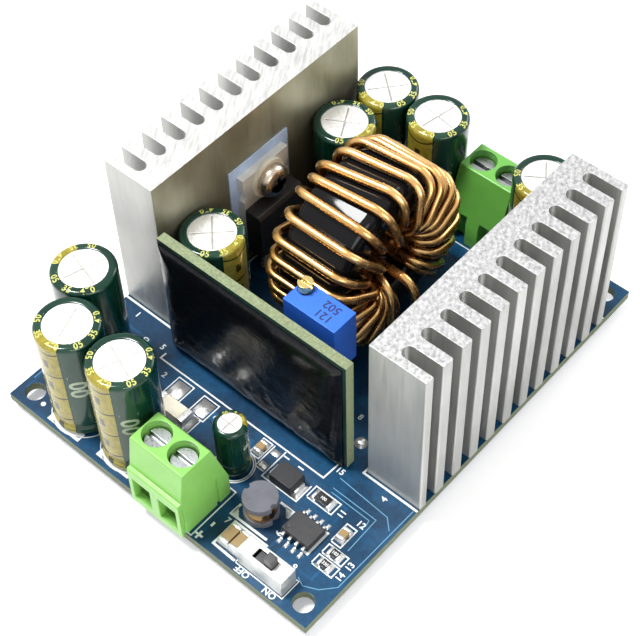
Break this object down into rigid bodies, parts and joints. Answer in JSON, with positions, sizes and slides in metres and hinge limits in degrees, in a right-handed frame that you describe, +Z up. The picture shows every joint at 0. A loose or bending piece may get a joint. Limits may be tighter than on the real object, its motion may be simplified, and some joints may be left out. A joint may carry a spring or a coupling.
{
  "type": "buck converter module",
  "caption": "Step-down converter module: blue board, two finned heatsinks, toroidal choke on edge, electrolytic capacitors, screw terminals and a potted control board.",
  "frame": {"origin": "under the middle of the board, at the level of the lowest solder joints", "axes": "+X along the input edge, towards the slide switch; +Y from the input terminal to the output terminal; +Z up from the board"},
  "size_m": [0.0604, 0.0788, 0.0341],
  "materials": {
    "board_blue": "glossy solder mask over glass-fibre board",
    "bung_black": "matt rubber",
    "bush_white": "moulded nylon",
    "cage_nickel": "nickel-plated",
    "can_aluminium": "bright drawn can",
    "ceramic_tan": "matt dielectric",
    "control_green": "dark green solder mask",
    "copper_wire": "clear enamelled copper",
    "core_black": "epoxy-coated iron powder",
    "ferrite_grey": "matt sintered ferrite",
    "fuse_white": "glazed ceramic tube",
    "moulding_black": "matt moulding compound",
    "pad_grey_blue": "matt silicone pad",
    "pin_gold": "flash-plated",
    "potting_black": "glossy poured epoxy",
    "resistor_black": "glass-coated",
    "screw_steel": "plated steel",
    "shell_silver": "pale plated shell",
    "sink_aluminium": "satin extruded, sawn ends",
    "sleeve_green": "glossy heat-shrunk sleeve",
    "solder": "bright solder",
    "switch_black": "matt moulded",
    "terminal_green": "satin moulded",
    "terminal_screw": "plated steel",
    "tinned": "bright tin plate",
    "trimmer_blue": "moulded",
    "trimmer_brass": "turned brass"
  },
  "bodies": {
    "root": {"main_board": "board_blue", "heatsink_left": "sink_aluminium", "heatsink_right": "sink_aluminium", "heatsink_pins": "tinned", "transistor_left_leadframe": "tinned", "transistor_left_case": "moulding_black", "transistor_right_leadframe": "tinned", "transistor_right_case": "moulding_black", "insulating_pads": "pad_grey_blue", "insulating_bushes": "bush_white", "transistor_screws": "screw_steel", "choke_core": "core_black", "choke_winding": "copper_wire", "capacitor_cans": "can_aluminium", "capacitor_sleeve_in_1": "sleeve_green", "capacitor_sleeve_in_2": "sleeve_green", "capacitor_sleeve_in_3": "sleeve_green", "capacitor_sleeve_mid": "sleeve_green", "capacitor_sleeve_out_1": "sleeve_green", "capacitor_sleeve_out_2": "sleeve_green", "capacitor_sleeve_out_3": "sleeve_green", "capacitor_sleeve_out_4": "sleeve_green", "capacitor_sleeve_small": "sleeve_green", "capacitor_bungs": "bung_black", "capacitor_leads": "tinned", "input_terminal_housing": "terminal_green", "input_terminal_contacts": "tinned", "output_terminal_housing": "terminal_green", "output_terminal_contacts": "tinned", "control_board": "control_green", "control_potting": "potting_black", "control_pins": "pin_gold", "trimmer_body": "trimmer_blue", "trimmer_pins": "tinned", "switch_shell": "shell_silver", "switch_base": "switch_black", "switch_pins": "tinned", "drum_choke_core": "ferrite_grey", "drum_choke_winding": "copper_wire", "ic_body": "moulding_black", "ic_leads": "tinned", "diode_body": "moulding_black", "diode_tabs": "tinned", "fuse_body": "fuse_white", "fuse_caps": "tinned", "chip_resistors": "resistor_black", "chip_capacitors": "ceramic_tan", "chip_terminals": "tinned", "power_joints": "solder", "signal_joints": "solder"},
    "switch_slider": {"switch_slider": "switch_black"},
    "trimmer_screw": {"trimmer_screw": "trimmer_brass"},
    "input_screw_a": {"input_terminal_screw_a": "terminal_screw"},
    "input_cage_a": {"input_terminal_cage_a": "cage_nickel"},
    "input_screw_b": {"input_terminal_screw_b": "terminal_screw"},
    "input_cage_b": {"input_terminal_cage_b": "cage_nickel"},
    "output_screw_a": {"output_terminal_screw_a": "terminal_screw"},
    "output_cage_a": {"output_terminal_cage_a": "cage_nickel"},
    "output_screw_b": {"output_terminal_screw_b": "terminal_screw"},
    "output_cage_b": {"output_terminal_cage_b": "cage_nickel"}
  },
  "joints": [
    {"name": "switch_slide", "type": "slide", "parent": "root", "child": "switch_slider", "axis": [-1, 0, 0], "range_m": [0, 0.002]},
    {"name": "trimmer_turn", "type": "hinge", "parent": "root", "child": "trimmer_screw", "pos_m": [0.0037, -0.00785, 0.0255], "axis": [0, 0, 1], "continuous": true},
    {"name": "input_screw_a_turn", "type": "hinge", "parent": "root", "child": "input_screw_a", "pos_m": [0.00001, -0.0349, 0.0137], "axis": [0, 0, -1], "range_deg": [0, 1728]},
    {"name": "input_cage_a_rise", "type": "slide", "parent": "root", "child": "input_cage_a", "axis": [0, 0, 1], "range_m": [0, 0.0024]},
    {"name": "input_screw_b_turn", "type": "hinge", "parent": "root", "child": "input_screw_b", "pos_m": [0.00509, -0.0349, 0.0137], "axis": [0, 0, -1], "range_deg": [0, 1728]},
    {"name": "input_cage_b_rise", "type": "slide", "parent": "root", "child": "input_cage_b", "axis": [0, 0, 1], "range_m": [0, 0.0024]},
    {"name": "output_screw_a_turn", "type": "hinge", "parent": "root", "child": "output_screw_a", "pos_m": [0.00774, 0.0349, 0.0137], "axis": [0, 0, -1], "range_deg": [0, 1728]},
    {"name": "output_cage_a_rise", "type": "slide", "parent": "root", "child": "output_cage_a", "axis": [0, 0, 1], "range_m": [0, 0.0024]},
    {"name": "output_screw_b_turn", "type": "hinge", "parent": "root", "child": "output_screw_b", "pos_m": [0.00266, 0.0349, 0.0137], "axis": [0, 0, -1], "range_deg": [0, 1728]},
    {"name": "output_cage_b_rise", "type": "slide", "parent": "root", "child": "output_cage_b", "axis": [0, 0, 1], "range_m": [0, 0.0024]}
  ],
  "couplings": [
    {"joint": "input_screw_a_turn", "follows": "input_cage_a_rise", "rad_per_m": 12566},
    {"joint": "input_screw_b_turn", "follows": "input_cage_b_rise", "rad_per_m": 12566},
    {"joint": "output_screw_a_turn", "follows": "output_cage_a_rise", "rad_per_m": 12566},
    {"joint": "output_screw_b_turn", "follows": "output_cage_b_rise", "rad_per_m": 12566}
  ]
}
